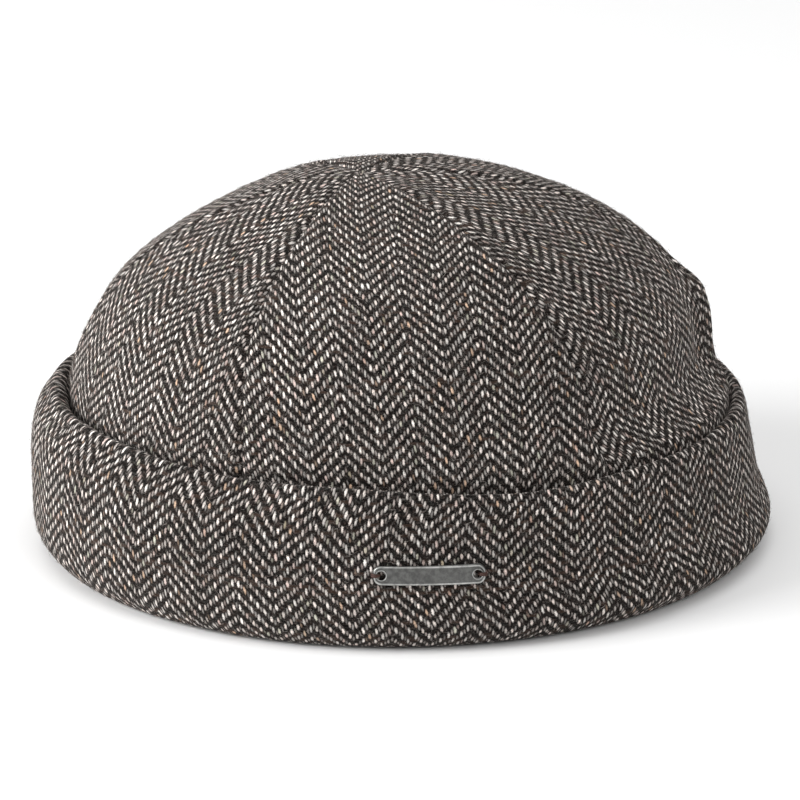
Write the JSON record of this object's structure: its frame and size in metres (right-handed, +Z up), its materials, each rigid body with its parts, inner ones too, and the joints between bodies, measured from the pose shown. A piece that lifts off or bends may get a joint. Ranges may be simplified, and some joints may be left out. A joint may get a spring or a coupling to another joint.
{
  "type": "rolled cuff breton cap",
  "caption": "Brimless wool cap with a domed crown of sewn panels, a deep turned-up cuff and a small metal plate on the cuff.",
  "frame": {"origin": "middle of the cap's footprint, on the surface that the cuff's hem rests on", "axes": "+Z up through the crown, +X towards the back of the head (-X is the front, over the forehead), -Y towards the wearer's left side, which has the plate"},
  "size_m": [0.2386, 0.1964, 0.1227],
  "materials": {
    "crown_wool": "napped herringbone wool in brown-black and cream yarns",
    "cuff_wool": "napped herringbone wool in brown-black and cream yarns",
    "plate_metal": "aged pewter, satin, with brighter edges"
  },
  "bodies": {
    "root": {"crown_panel_1": "crown_wool", "crown_panel_2": "crown_wool", "crown_panel_3": "crown_wool", "crown_panel_4": "crown_wool", "crown_panel_5": "crown_wool", "crown_panel_6": "crown_wool", "cuff": "cuff_wool", "side_plate": "plate_metal"}
  },
  "joints": []
}
